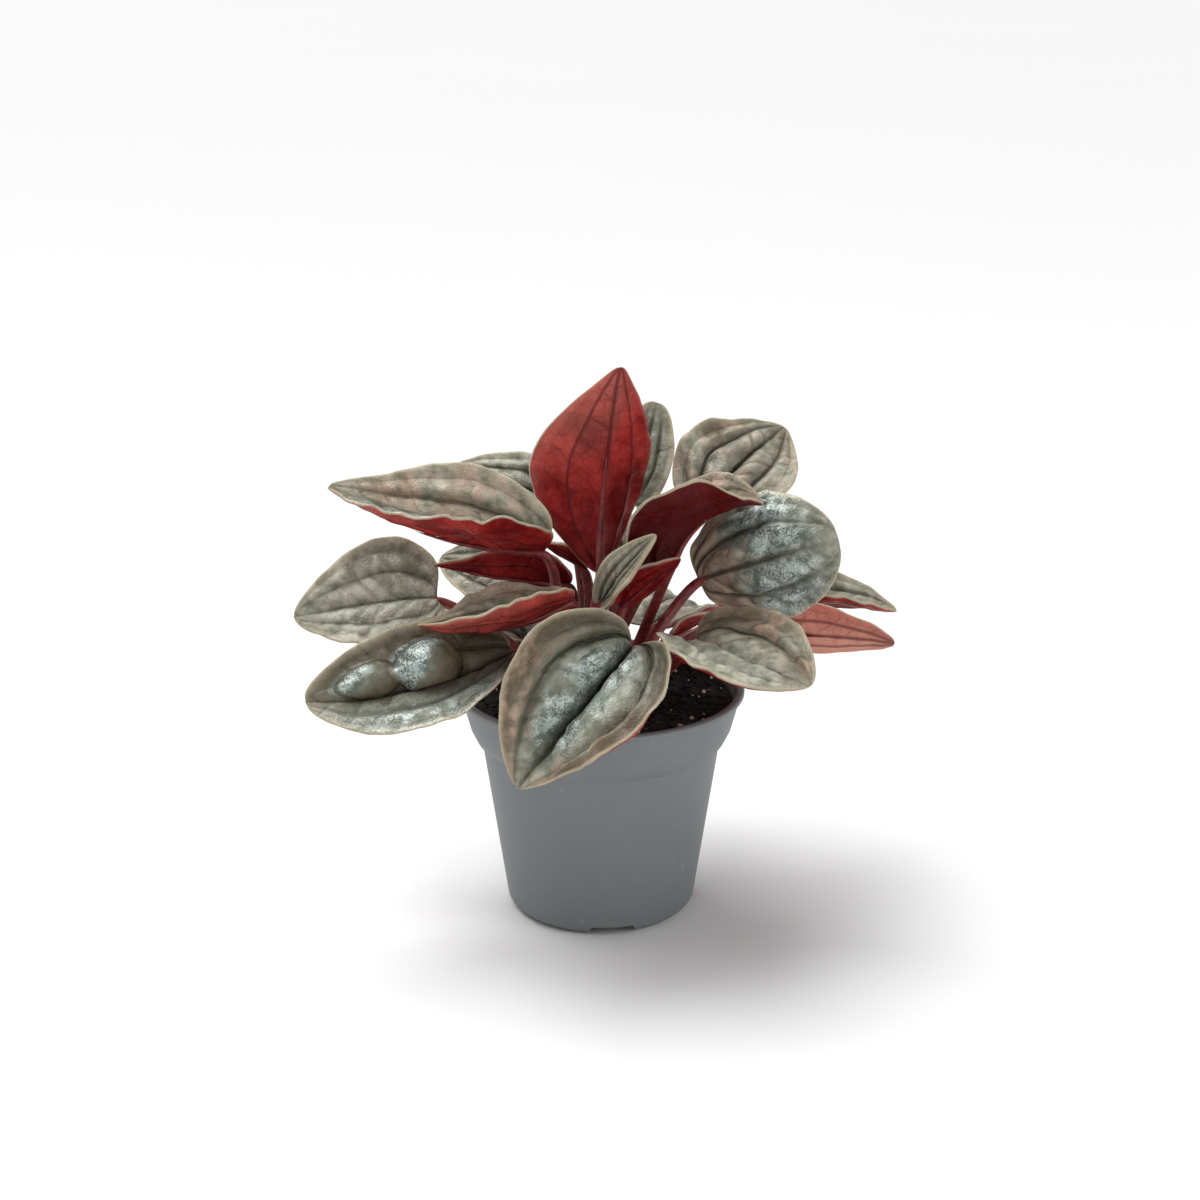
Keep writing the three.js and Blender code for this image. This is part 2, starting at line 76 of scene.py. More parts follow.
class Wire:
    """An output of a shader node. A sum on it adds a Math node."""

    def __init__(self, finish, socket):
        self.finish = finish
        self.socket = socket

    def maths(self, operation, *values):
        return self.finish.node("Math", {"operation": operation}, dict(enumerate(values)))

    def __add__(self, other):
        return self.maths("ADD", self, other)

    def __sub__(self, other):
        return self.maths("SUBTRACT", self, other)

    def __rsub__(self, other):
        return self.maths("SUBTRACT", other, self)

    def __mul__(self, other):
        return self.maths("MULTIPLY", self, other)

    def __abs__(self):
        return self.maths("ABSOLUTE", self)

    __radd__ = __add__
    __rmul__ = __mul__


class Finish:
    """A material in the making, or a world. node() adds any node and returns one output."""

    def __init__(self, name, shelf=bpy.data.materials):
        self.holder = shelf.new(name)
        self.holder.use_nodes = True
        self.tree = self.holder.node_tree
        self.tree.nodes.clear()

    def node(self, kind, settings=None, inputs=None, output=0):
        made = self.tree.nodes.new("ShaderNode" + kind)
        for key, value in (settings or {}).items():
            setattr(made, key, value)
        for key, value in (inputs or {}).items():
            if isinstance(value, Wire):
                self.tree.links.new(value.socket, made.inputs[key])
            else:
                made.inputs[key].default_value = value
        return Wire(self, made.outputs[output]) if made.outputs else None

    def place(self):
        return self.node("TexCoord", output="Object")

    def mottle(self, scale, detail=3, place=None):
        """Noise from 0 to 1, scale being how many of its lumps go into a metre."""
        inputs = {"Vector": place or self.place(), "Scale": scale, "Detail": detail}
        return self.node("TexNoise", None, inputs)

    def step(self, value, low, high):
        """0 below low and 1 above high, with a smooth climb between them."""
        inputs = {"Value": value, "From Min": low, "From Max": high}
        return self.node("MapRange", {"interpolation_type": "SMOOTHSTEP"}, inputs)

    def blend(self, share, first, second):
        """The first colour where share is 0 and the second where it is 1."""
        inputs = {0: share, 6: first, 7: second}
        return self.node("Mix", {"data_type": "RGBA"}, inputs, output=2)

    def split(self, vector):
        parts = self.node("SeparateXYZ", None, {0: vector})
        return [Wire(self, socket) for socket in parts.socket.node.outputs]

    def painted(self, name, output="Vector"):
        """What the mesh carries at its points: a vector's three numbers, or with Fac just one."""
        value = self.node("Attribute", {"attribute_name": name}, output=output)
        return self.split(value) if output == "Vector" else value

    def relief(self, height, depth):
        """Normals for a height from 0 to 1 that stands depth metres high."""
        return self.node("Bump", None, {"Height": height, "Distance": depth, "Strength": 1})

    def close(self, **sockets):
        inputs = {key.replace("_", " "): value for key, value in sockets.items()}
        shader = self.node("BsdfPrincipled", None, inputs)
        self.node("OutputMaterial", None, {"Surface": shader})
        return self.holder


def shade(red, green, blue):
    """A colour as it looks on screen, 0 to 255, as the shader wants it."""
    return (*[(c / 255) ** 2.2 for c in (red, green, blue)], 1)


def spun(profile, steps):
    """A solid of revolution about Z, from points of radius and height in mm."""
    bm = bmesh.new()
    points = [bm.verts.new((r * MM, 0, z * MM)) for r, z in profile]
    edges = [bm.edges.new(pair) for pair in zip(points, points[1:])]
    bmesh.ops.spin(
        bm, geom=points + edges, axis=(0, 0, 1), cent=(0, 0, 0), angle=2 * math.pi,
        steps=steps, use_merge=True,
    )
    bmesh.ops.remove_doubles(bm, verts=bm.verts, dist=0.002 * MM)
    bmesh.ops.recalc_face_normals(bm, faces=bm.faces)
    return bm


def finished(name, bm, materials, slot, *nodes):
    """Makes the mesh a smooth piece on the root body, in the place of the given CAD nodes."""
    mesh = bpy.data.meshes.new(name)
    bm.to_mesh(mesh)
    bm.free()
    mesh.shade_smooth()
    made = bpy.data.objects.new(name, mesh)
    bpy.context.scene.collection.objects.link(made)
    for material in materials:
        mesh.materials.append(material)
    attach(made, "root")
    if nodes:
        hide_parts(*nodes)
    return made


def pot_plastic():
    finish = Finish("matt grey polypropylene")
    cloud = finish.mottle(60)
    scuff = finish.step(finish.mottle(420, 6), 0.66, 0.72) * finish.mottle(45)
    x, y, z = finish.split(finish.place())
    # Compost dust clings to the top of the inside, up to the lip
    lip_inside = (RIM_RADIUS - LIP) * MM
    bounds = (lip_inside - 0.2 * MM) ** 2, (lip_inside + 0.6 * MM) ** 2
    inside = 1 - finish.step(x * x + y * y, *bounds)
    dust = finish.step(z, (POT_HEIGHT - 2.5) * MM, POT_HEIGHT * MM) * inside
    colour = finish.blend(cloud, shade(113, 118, 120), shade(121, 126, 127))
    colour = finish.blend(scuff * 0.3, colour, shade(160, 164, 166))
    colour = finish.blend(dust * 0.8, colour, shade(66, 54, 46))
    grain = finish.mottle(2600, 2) + finish.mottle(240) * 2
    return finish.close(
        Base_Color=colour,
        Roughness=0.5 + cloud * 0.12,
        Normal=finish.relief(grain, 0.02 * MM),
        Specular_IOR_Level=0.35,
    )


foot = [
    (FOOT_RADIUS + BASE_FILLET * math.sin(a), BASE_FILLET * (1 - math.cos(a)))
    for a in map(math.radians, range(0, 76, 15))
]
pot_outside = [
    (0, FOOT_HEIGHT),
    (FOOT_RADIUS - FOOT_WIDTH - 0.2, FOOT_HEIGHT),
    (FOOT_RADIUS - FOOT_WIDTH, 0),
    *foot,
    (NECK_RADIUS, COLLAR_FOOT),
    (NECK_RADIUS + 1.2, COLLAR_FOOT + 0.9),
    (NECK_RADIUS + 2.4, COLLAR_FOOT + 3.4),
    (RIM_RADIUS - 1.6, LIP_FOOT),
    (RIM_RADIUS - 0.9, POT_HEIGHT - 1.5),
    (RIM_RADIUS, POT_HEIGHT - 1),
    (RIM_RADIUS, POT_HEIGHT - 0.3),
    (RIM_RADIUS - 0.4, POT_HEIGHT),
    (RIM_RADIUS - 1.2, POT_HEIGHT),
]
pot = finished(
    "pot_shell", spun(pot_outside + POT_INSIDE[::-1], POT_STEPS), [pot_plastic()],
    "pot_plastic", "pot",
)

cuts = bmesh.new()
for quarter in range(4):
    turn = NOTCH_TURN + quarter * math.pi / 2
    ahead = Vector((math.cos(turn), math.sin(turn), 0))
    notch = bmesh.ops.create_cube(cuts, size=MM)["verts"]
    bmesh.ops.scale(cuts, verts=notch, vec=NOTCH_SIZE)
    for corner in notch:
        if corner.co.z > 0:
            corner.co.y *= 0.8
    bmesh.ops.rotate(
        cuts, verts=notch, cent=(0, 0, 0),
        matrix=ahead.to_track_quat("X", "Z").to_matrix(),
    )
    bmesh.ops.translate(cuts, verts=notch, vec=ahead * FOOT_RADIUS * MM)
for hole in range(5):
    turn = NOTCH_TURN + (hole + 0.5) * math.pi / 2
    ring = 0 if hole == 4 else DRAIN_RING * MM
    drain = bmesh.ops.create_cone(
        cuts, cap_ends=True, segments=24, radius1=DRAIN_RADIUS * MM,
        radius2=DRAIN_RADIUS * MM, depth=8 * MM,
    )["verts"]
    middle = (ring * math.cos(turn), ring * math.sin(turn), FLOOR_TOP * MM)
    bmesh.ops.translate(cuts, verts=drain, vec=middle)
cutter_mesh = bpy.data.meshes.new("cutter")
cuts.to_mesh(cutter_mesh)
cuts.free()
cutter = bpy.data.objects.new("cutter", cutter_mesh)
bpy.context.scene.collection.objects.link(cutter)
cut = pot.modifiers.new("notches and drain holes", "BOOLEAN")
cut.object = cutter
cut.solver = "EXACT"
rounding = pot.modifiers.new("moulded edges", "BEVEL")
rounding.width = EDGE_ROUNDING * MM
rounding.segments = 2
rounding.limit_method = "ANGLE"
rounding.angle_limit = math.radians(28)
bpy.context.view_layer.update()
moulded = bpy.data.meshes.new_from_object(
    pot.evaluated_get(bpy.context.evaluated_depsgraph_get())
)
pot.modifiers.clear()
pot.data = moulded
moulded.shade_smooth()
moulded.set_sharp_from_angle(angle=math.radians(35))
bpy.data.objects.remove(cutter)

# Compost
# A plug of dark peat that fills the pot to just under its rim. Its surface is loose crumbs,
# with white grains of perlite and brown bark fibres lying in it.

SOIL_EDGE = POT_HEIGHT - 2.8
SOIL_CROWNING = 1.2
SOIL_RADIUS = 27.35
SOIL_GAP = 0.3
SOIL_RINGS = 60
SOIL_STEPS = 150
CRUMBS, CRUMB_REACH = 900, 26.4
PERLITE_GRAINS, PERLITE_REACH = 64, 26
FIBRES, FIBRE_REACH = 60, 25


def soil_top(x, y):
    """Height of the compost at a place, all in mm."""
    away = math.hypot(x, y) / SOIL_RADIUS
    lumps = math.sin(x * 1.1 + 0.6 * y) * math.cos(y * 0.9 - 0.4 * x + 1)
    crumble = noise.noise(Vector((x, y, 3)) * 0.9) * 0.5
    crumble += noise.noise(Vector((x, y, 9)) * 2.2) * 0.3
    level = SOIL_EDGE + SOIL_CROWNING * (1 - away**2)
    return level + (0.5 * lumps + crumble) * max(0, 1 - away**8)


def scattered(chance, reach):
    """A point on the compost, in mm, spread evenly over its surface."""
    turn = chance.uniform(0, 2 * math.pi)
    away = reach * math.sqrt(chance.random())
    x, y = away * math.cos(turn), away * math.sin(turn)
    return Vector((x, y, soil_top(x, y)))


def grain(bm, chance, middle, size, fineness):
    """A rough pebble of the given half sizes, turned at random."""
    made = bmesh.ops.create_icosphere(bm, subdivisions=fineness, radius=MM)["verts"]
    for vert in made:
        vert.co *= 1 + 0.35 * noise.noise(vert.co / MM * 1.3 + middle * 7)
    bmesh.ops.scale(bm, verts=made, vec=size)
    axis = Vector([chance.uniform(-1, 1) for _ in range(3)]).normalized()
    turn = axis.to_track_quat("Z", "Y").to_matrix()
    bmesh.ops.rotate(bm, verts=made, cent=(0, 0, 0), matrix=turn)
    bmesh.ops.translate(bm, verts=made, vec=middle * MM)


def tube(bm, path, radii, sides):
    """A round tube through points in mm, closed at both ends, with a radius at each point."""
    ahead = (path[1] - path[0]).normalized()
    across = ahead.orthogonal().normalized()
    frames = []
    for i, point in enumerate(path):
        ahead = (path[min(i + 1, len(path) - 1)] - path[max(i - 1, 0)]).normalized()
        across = (across - ahead * across.dot(ahead)).normalized()
        frames.append((point, across, ahead.cross(across)))
    rows = len(path) - 1
    made = bmesh.ops.create_grid(bm, x_segments=sides, y_segments=rows, size=1)["verts"]
    for vert in made:
        turn = math.pi * vert.co.x
        row = round((vert.co.y + 1) / 2 * rows)
        middle, across, up = frames[row]
        out = across * math.cos(turn) + up * math.sin(turn)
        vert.co = (middle + out * radii[row]) * MM
    return made


def compost_finish():
    finish = Finish("moist dark compost")
    patch = finish.mottle(900, 6)
    colour = finish.blend(finish.step(patch, 0.4, 0.7), shade(8, 7, 6), shade(28, 22, 18))
    return finish.close(
        Base_Color=colour,
        Roughness=0.86,
        Normal=finish.relief(finish.mottle(2400, 5), 0.25 * MM),
    )


def perlite_finish():
    finish = Finish("white perlite")
    stain = finish.step(finish.mottle(800, 4), 0.45, 0.75)
    colour = finish.blend(stain * 0.6, shade(232, 228, 218), shade(150, 130, 108))
    return finish.close(
        Base_Color=colour,
        Roughness=0.9,
        Normal=finish.relief(finish.mottle(5000, 3), 0.1 * MM),
    )


def fibre_finish():
    finish = Finish("brown bark fibre")
    colour = finish.blend(finish.mottle(1500), shade(70, 48, 32), shade(140, 104, 70))
    return finish.close(Base_Color=colour, Roughness=0.8)


soil_profile = [(0, FLOOR_TOP + SOIL_GAP)]
soil_profile += [(r - SOIL_GAP, z + SOIL_GAP) for r, z in POT_INSIDE[1:6]]
soil_profile += [
    (SOIL_RADIUS * (1 - ring / SOIL_RINGS), SOIL_EDGE) for ring in range(SOIL_RINGS + 1)
]
compost = spun(soil_profile, SOIL_STEPS)
for vert in compost.verts:
    if vert.co.z > (SOIL_EDGE - 0.1) * MM:
        vert.co.z = soil_top(vert.co.x / MM, vert.co.y / MM) * MM
chance = random.Random(4)
for _ in range(CRUMBS):
    size = chance.uniform(0.3, 0.9)
    squash = (size, size * chance.uniform(0.6, 1), size * chance.uniform(0.5, 0.9))
    grain(compost, chance, scattered(chance, CRUMB_REACH), squash, 1)
finished("compost", compost, [compost_finish()], "compost", "soil")

perlite = bmesh.new()
for _ in range(PERLITE_GRAINS):
    size = chance.choice((0.22, 0.3, 0.3, 0.4, 0.6))
    squash = (size, size * chance.uniform(0.7, 1), size * chance.uniform(0.5, 0.8))
    middle = scattered(chance, PERLITE_REACH) + Vector((0, 0, 0.35))
    grain(perlite, chance, middle, squash, 2)
finished("perlite", perlite, [perlite_finish()], "compost")

fibres = bmesh.new()
for _ in range(FIBRES):
    start = scattered(chance, FIBRE_REACH) + Vector((0, 0, 0.3))
    turn = chance.uniform(0, 2 * math.pi)
    ahead = Vector((math.cos(turn), math.sin(turn), chance.uniform(-0.05, 0.25)))
    bow = Vector((-ahead.y, ahead.x, 0)) * chance.uniform(-0.5, 0.5)
    length = chance.uniform(1.2, 3.6)
    path = [start + ahead * length * t + bow * t * (1 - t) * 4 for t in (0, 0.25, 0.5, 0.75, 1)]
    tube(fibres, path, [0.02, 0.11, 0.13, 0.1, 0.02], 5)
bmesh.ops.remove_doubles(fibres, verts=fibres.verts, dist=0.001 * MM)
bmesh.ops.recalc_face_normals(fibres, faces=fibres.faces)
finished("bark_fibres", fibres, [fibre_finish()], "compost")

# Crown
# The short fleshy stem of the plant. It stands in the compost, and every leaf stalk springs
# from a knuckle on its low dome.

DOME_CENTRE = Vector((0, 0, 37))
DOME_RADIUS = 15
CROWN_RADIUS = 12
CROWN_NECK = 6
CROWN_FOOT = 38
KNUCKLE_HEIGHT = 1.1
KNUCKLE_WIDTH = 2.0
CROWN_ROUGHNESS = 0.3
CROWN_STEPS = 120
# How the stalks of each ring of sockets lean, how many share the turn, and where it starts
RINGS = [(12, 4, 45), (28, 10, 0), (43, 15, 6)]


def socket_lean(ring, slot):
    """The direction in which a stalk leaves the crown."""
    lean, count, start = RINGS[ring]
    lean = math.radians(lean)
    turn = math.radians(start + slot * 360 / count)
    out = math.sin(lean)
    return Vector((out * math.cos(turn), out * math.sin(turn), math.cos(lean)))


def stalk_finish():
    finish = Finish("dusky red stalk flesh")
    streak = finish.mottle(900, 3)
    patch = finish.mottle(110, 3)
    colour = finish.blend(finish.step(streak, 0.35, 0.7), shade(96, 24, 26), shade(132, 44, 42))
    colour = finish.blend(finish.step(patch, 0.5, 0.75) * 0.5, colour, shade(150, 82, 70))
    return finish.close(
        Base_Color=colour,
        Roughness=0.4 + streak * 0.15,
        Normal=finish.relief(finish.mottle(3000, 3), 0.05 * MM),
        Subsurface_Weight=0.12,
        Subsurface_Radius=(0.004, 0.001, 0.0008),
        Coat_Weight=0.1,
    )


def crown_finish():
    finish = Finish("woody red crown")
    patch = finish.mottle(500, 5)
    colour = finish.blend(finish.step(patch, 0.35, 0.7), shade(48, 18, 16), shade(104, 56, 42))
    return finish.close(
        Base_Color=colour,
        Roughness=0.65,
        Normal=finish.relief(finish.mottle(1800, 4), 0.2 * MM),
    )


shoulder = DOME_CENTRE.z + math.sqrt(DOME_RADIUS**2 - CROWN_RADIUS**2)
crown_profile = [(0, CROWN_FOOT), (CROWN_NECK, CROWN_FOOT), (CROWN_RADIUS, shoulder)]
steepest = math.asin(CROWN_RADIUS / DOME_RADIUS)
for i in range(1, 33):
    a = steepest * (1 - i / 32)
    crown_profile.append((DOME_RADIUS * math.sin(a), DOME_CENTRE.z + DOME_RADIUS * math.cos(a)))
crown = spun(crown_profile, CROWN_STEPS)
sockets = [
    socket_lean(ring, slot) for ring, (_, count, _) in enumerate(RINGS) for slot in range(count)
]
for vert in crown.verts:
    out = vert.co / MM - DOME_CENTRE
    if out.z < shoulder - DOME_CENTRE.z - 0.01:
        continue
    ahead = out.normalized()
    nearest = max(ahead.dot(lean) for lean in sockets)
    away = math.acos(min(1, nearest)) * DOME_RADIUS
    swell = KNUCKLE_HEIGHT * math.exp(-((away / KNUCKLE_WIDTH) ** 2))
    rough = CROWN_ROUGHNESS * (noise.noise(out * 0.8) - 1)
    vert.co += ahead * (swell + rough) * MM
finished("crown_flesh", crown, [crown_finish()], "stalk_flesh", "crown")

# Leaves
# Fleshy blades on round stalks, each grown in one piece. The flesh bulges between the sunken
# veins, silver green above with brown mottling and a pale rim, and crimson below.

VEINS = (0, 0.4, 0.78)
LATERAL = (0.46, 0.46)
OUTER_VEIN = 0.58
RIPPLE = 0.12
RIPPLE_END = 1.16
CROSS_VEINS = 7
BLADE = 0.8
ROW_SPREAD = 1.15
LOBE_REACH = 0.1
MIDRIB_SHARE = 0.15
GRID, YOUNG_GRID = ((12, 12, 9), 96), ((7, 6, 5), 48)
STALK_FOOT = 1.25
STALK_TOP = 1.05
STALK_STEPS = 28
STALK_SIDES = 18
MIDRIB_REACH = 0.62
MIDRIB_STEPS = 14
SMOOTH_PASSES = 5

# Each leaf is named for its place as seen from the front. ring and slot give its socket, base
# and tip the two ends of its midrib in mm, and face the way its top looks. left and right, seen
# along the leaf with its top up, give each half's fold at the midrib and its further curl out
# to the rim, in degrees. bend is how far the tip droops, twist how far it turns, open how much
# of the fold is gone there, sway how far the midrib bows to the side, and lobe, belly, point
# and full shape the outline. blunt is the radius of the tip, ruffle how far the rim waves,
# grooves how deep the veins lie, and lateral where the next vein runs on the left and on the
# right. A blister has its place across and along, its reach both ways and its height. brown and
# silver give how much the leaf has of the mottling and the sheen, pink the rosiness of that
# mottling or, under 0, its darkness, partly the leaf's own olive and partly painted shade, and
# red the same for the underside, where under 0 it is painted shade: each everywhere, more to
# the right, more to the rim and more to the tip.
LEAVES = {
    "front": dict(
        ring=2, slot=12, base=(6.5, -16.5, 62.5), tip=(-16, -37, 40.5),
        face=(-0.25, -0.6, 0.75), width=42, left=(25, -5), right=(28, 35), bend=25,
        lobe=0.1, belly=1, full=0.8, point=0.15, open=0, sway=-0.05,
        grooves=1, lateral=(0.68, 0.56), pink=(-1.1, 0.2, 0, 1.8),
        brown=(-0.4, 0, 1.6, -0.2), silver=(1.2, 0, -1.1, -0.3),
    ),
    "front_left": dict(
        ring=2, slot=9, base=(-18, -13, 60), tip=(-58, -28, 55), face=(0, -0.9, 0.5),
        width=28, left=(70, 0), right=(0, 10), bend=20, lobe=0.02, belly=1, full=0.65,
        point=0.1, open=0.6, twist=-8, sway=-0.08,
        blisters=[(0.3, 0.47, 0.42, 0.155, 6), (0.3, 0.74, 0.34, 0.14, 3.2)],
        grooves=0.6, pink=(-0.6, 0, 0, 0),
        brown=(0.75, 0.6, -0.1, -0.3), silver=(0.2, -0.5, 0.1, 0.2),
    ),
    "front_folded": dict(
        ring=1, slot=6, base=(-6, -9, 70), tip=(-35.5, -28, 71), face=(0, 0, 1), width=23,
        left=(40, 10), right=(24, 0), bend=-45, lobe=0.06,
        pink=(0.5, 0, 0, 0), brown=(0.5, 0, 0, 0), silver=(0.35, 0, 0, 0), red=(0.05, 0, 0, 0.15),
    ),
    "far_left": dict(
        ring=2, slot=7, base=(-34, 2, 66.5), tip=(-63, -4, 64.5), face=(0, -0.7, 0.7),
        width=28, left=(20, 20), right=(5, 10), bend=15, lobe=0.08, belly=0.7, full=0.8,
        point=0, twist=-20,
        ruffle=0.5, grooves=0.45, brown=(0, 0, 0, 0), silver=(0.25, 0, -0.2, 0),
    ),
    "upper_left": dict(
        ring=1, slot=5, base=(-11.5, -2, 78.3), tip=(-54.5, -8, 93.2), face=(0.1, -0.15, 1),
        width=33, left=(50, 5), right=(78, 5), bend=-35, lobe=0.08, full=0.7, point=0.3,
        open=0.7,
        ruffle=0.6, grooves=0.7, brown=(0.3, 0.15, -0.1, 0), silver=(0.4, -1, 0, 0),
        pink=(0.6, 0, 0, 0), red=(-0.35, 0, 0, 0.6),
    ),
    "left_dark": dict(
        ring=1, slot=4, base=(-6.5, 6, 68.5), tip=(-34, -3, 75.5), face=(0, 0.5, 0.85), width=18,
        left=(25, 10), right=(10, 20), bend=-5, lobe=0.04, red=(-0.5, 0, 0, 0.2),
    ),
    "upright": dict(
        ring=0, slot=2, base=(0, 2, 72), tip=(4, 2, 115.5), face=(0.25, 1, 0), width=36,
        left=(66, 10), right=(0, 4), bend=10, lobe=0.03, belly=1.1, sway=0.03, blunt=1.8,
        red=(-0.35, 0.15, 0, 0.6),
    ),
    "back_tip": dict(
        ring=1, slot=2, base=(6, 20, 83), tip=(12, 29, 102), face=(0.2, -0.8, 0.5), width=14,
        left=(10, 10), right=(10, 10), bend=10, full=0.55, point=0.1, brown=(0.1, 0, 0, 0),
    ),
    "back_left": dict(
        ring=1, slot=3, base=(-9, 18.5, 82.5), tip=(-34, 30, 86.5), face=(0, -0.4, 0.9),
        width=19, left=(10, 20), right=(10, 20), bend=10, full=0.75, point=0.25,
        brown=(0.15, 0, 0, 0),
    ),
    "left_behind": dict(
        ring=2, slot=5, base=(-13, 15, 64), tip=(-35, 26, 68), face=(0, -0.7, 0.7), width=20,
        left=(10, 20), right=(10, 20), bend=10, full=0.75, point=0.25, brown=(0.1, 0, 0, 0),
    ),
    "young_olive": dict(
        ring=1, slot=7, base=(0.5, -4.5, 68), tip=(11, -12, 84.5), face=(-0.5, -0.7, 0.4),
        width=11, left=(10, 10), right=(30, 10), bend=5, blunt=1.8, brown=(0.3, 0, 0, 0),
        silver=(0.1, 0, 0, 0), young=True,
    ),
    "young_red": dict(
        ring=1, slot=8, base=(4.5, -3, 67), tip=(16, -8, 78.5), face=(-0.1, 0.7, 0.6),
        width=10, left=(10, 10), right=(10, 10), bend=5, young=True,
    ),
    "inner_right": dict(
        ring=1, slot=1, base=(14, 0, 73.5), tip=(33, 1, 87), face=(-0.5, 0, 0.85), width=32,
        left=(-15, 10), right=(60, 10), bend=85, lobe=0.05, full=0.7, point=0.1, open=0,
        twist=45,
        ruffle=0.9, brown=(0.6, 0, 0, 0), silver=(0.2, 0, 0, 0), red=(-1, 0, 0, 0.2),
    ),
    "right": dict(
        ring=1, slot=9, base=(20.3, 4, 70), tip=(48.5, -2, 80.5), face=(-0.2, -0.85, 0.4),
        width=29, left=(5, -45), right=(-52, -20), bend=20, lobe=0.05, belly=1.05, full=0.5,
        point=0, open=0.5,
        grooves=0.8, lateral=(0.5, 0.5), pink=(1, 0, 0, -1.5), brown=(1.4, 0, 0, -2.6),
        silver=(0.75, 0, 0, 0.4),
    ),
    "upper_right": dict(
        ring=2, slot=3, base=(22.5, 19, 82.5), tip=(40, 35, 95), face=(-0.1, -0.6, 0.8),
        width=29, left=(-5, 5), right=(10, 5), bend=20, lobe=0.13, full=0.75, point=0.3,
        twist=15,
        ruffle=0.5, grooves=1.1, brown=(0.4, 0, 0, 0), silver=(0, 0, 0, 0),
    ),
    "front_right": dict(
        ring=2, slot=14, base=(19, -8, 60), tip=(40.5, -30, 59), face=(0, -0.3, 0.95),
        width=32, left=(5, 15), right=(35, 0), bend=-5, lobe=0.18, full=0.65, point=0.2,
        open=0.8, sway=0.02,
        lateral=(0.55, 0.5), brown=(0.35, -0.45, 0.1, -0.3), silver=(0.1, 0, -0.2, 0),
    ),
    "low_right": dict(
        ring=2, slot=0, base=(28, 9.5, 56.5), tip=(61.5, 3, 56.5), face=(0, 0.9, 0.3), width=15,
        left=(10, 10), right=(10, 10), bend=15, full=0.75, point=0.15, red=(0.9, -0.4, 0, 0),
    ),
    "far_right": dict(
        ring=2, slot=1, base=(34, 18, 59), tip=(64, 20, 58), face=(0, -0.2, 1), width=20,
        left=(20, 20), right=(30, 20), bend=15, full=0.75, point=0.25, brown=(0.1, 0, 0, 0),
    ),
    "small_right": dict(
        ring=1, slot=0, base=(15, 2, 58.5), tip=(24.5, 6, 62), face=(0, 0.6, 0.8), width=8,
        left=(10, 10), right=(10, 10), bend=10, young=True,
    ),
    "small_left": dict(
        ring=0, slot=1, base=(-3.5, 8.2, 71.5), tip=(-12, 9.2, 76.5), face=(0, 0.6, 0.8),
        width=7.5, left=(10, 10), right=(10, 10), bend=10, young=True,
    ),
    "small_behind": dict(
        ring=0, slot=0, base=(2.5, 12, 70), tip=(3, 15, 80), face=(0, -1, 0.2), width=9,
        left=(20, 10), right=(20, 10), bend=5, young=True,
    ),
    "back_right_low": dict(
        ring=2, slot=2, base=(11, 18, 55), tip=(28.5, 44, 46), face=(0, 0, 1), width=25,
        left=(10, 20), right=(10, 20), bend=40, full=0.75, point=0.25,
    ),
    "back_low": dict(
        ring=2, slot=4, base=(-4, 19, 53.5), tip=(-9, 46, 43), face=(0, 0, 1), width=24,
        left=(10, 20), right=(10, 20), bend=50, full=0.75, point=0.25,
    ),
    "back_left_low": dict(
        ring=2, slot=6, base=(-17, 11, 54.5), tip=(-42, 25, 50.5), face=(0, 0, 1), width=23,
        left=(10, 20), right=(10, 20), bend=30, full=0.75, point=0.25,
    ),
}


def section(distance, half, fold, curl):
    """Where a half blade is, at a distance out from its midrib, and how it slopes there."""
    rate = curl / half
    if abs(rate) < 1e-6:
        return distance * math.cos(fold), distance * math.sin(fold), fold
    slope = fold + rate * distance
    x = (math.sin(slope) - math.sin(fold)) / rate
    return x, (math.cos(fold) - math.cos(slope)) / rate, slope


def pucker(across, v):
    """How far the flesh bulges between two veins, from 0 on a vein to about 1."""
    lines = (*VEINS, RIPPLE_END)
    band = max(i for i, line in enumerate(VEINS) if across >= line)
    low, high = lines[band], lines[band + 1]
    middle = 1 - abs(2 * (across - low) / (high - low) - 1) ** 2.5
    return middle * max(0, math.sin(math.pi * v)) ** 0.6 * (high - low) / 0.4


def straightened(across, lateral):
    """Shifts a share of the half width so that a vein at lateral comes to lie at the usual 0.4."""
    stops = (0, lateral, lateral + OUTER_VEIN * (1 - lateral), 1)
    band = sum(across > stop for stop in stops[1:-1])
    share = (across - stops[band]) / (stops[band + 1] - stops[band])
    usual = (*VEINS, 1)
    return usual[band] + (usual[band + 1] - usual[band]) * share


def plumpness(across, v):
    """The fine blade's bulge: the outer veins hardly pull it down, and it fades to the tip."""
    inner = pucker(across, v)
    shallow = math.exp(-(((across - VEINS[2]) / 0.13) ** 2))
    swell = max(0, math.sin(math.pi * v)) ** 0.6
    late = 1 - 0.7 * max(0, v - 0.65) / 0.35
    return (inner + shallow * (0.62 * swell - inner) * 0.8) * late


